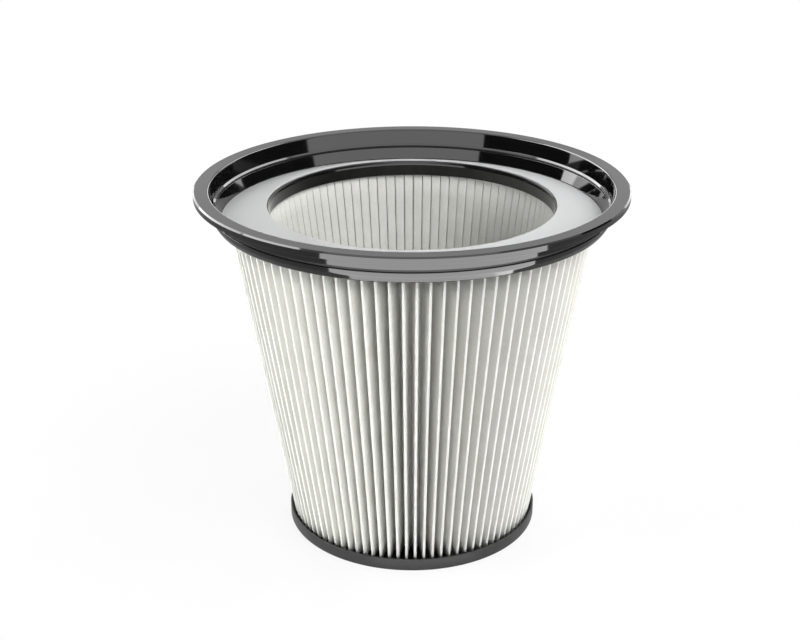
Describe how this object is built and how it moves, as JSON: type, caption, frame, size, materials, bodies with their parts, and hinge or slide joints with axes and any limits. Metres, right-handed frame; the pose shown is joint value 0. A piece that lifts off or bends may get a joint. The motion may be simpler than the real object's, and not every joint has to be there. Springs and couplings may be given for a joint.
{
  "type": "vacuum pre-filter",
  "caption": "Conical pleated vacuum pre-filter with a flanged collar, a face seal round its open throat and a closed end cap.",
  "frame": {"origin": "centre of the end cap's underside, the lowest point of the part", "axes": "+Z along the cone's axis, from the end cap up to the open rim; -Y faces the picture's camera; +X is the camera's right"},
  "size_m": [0.26, 0.26, 0.221],
  "materials": {
    "collar": "gloss black",
    "seal": "matt light grey",
    "bond": "cured black adhesive",
    "media": "bonded nonwoven, off-white",
    "cap": "matt dark grey"
  },
  "bodies": {
    "root": {"flange_ring": "collar", "end_ring": "collar", "seal_ring": "seal", "upper_bond": "bond", "pleated_media": "media", "lower_bond": "bond", "bottom_cap": "cap"}
  },
  "joints": []
}
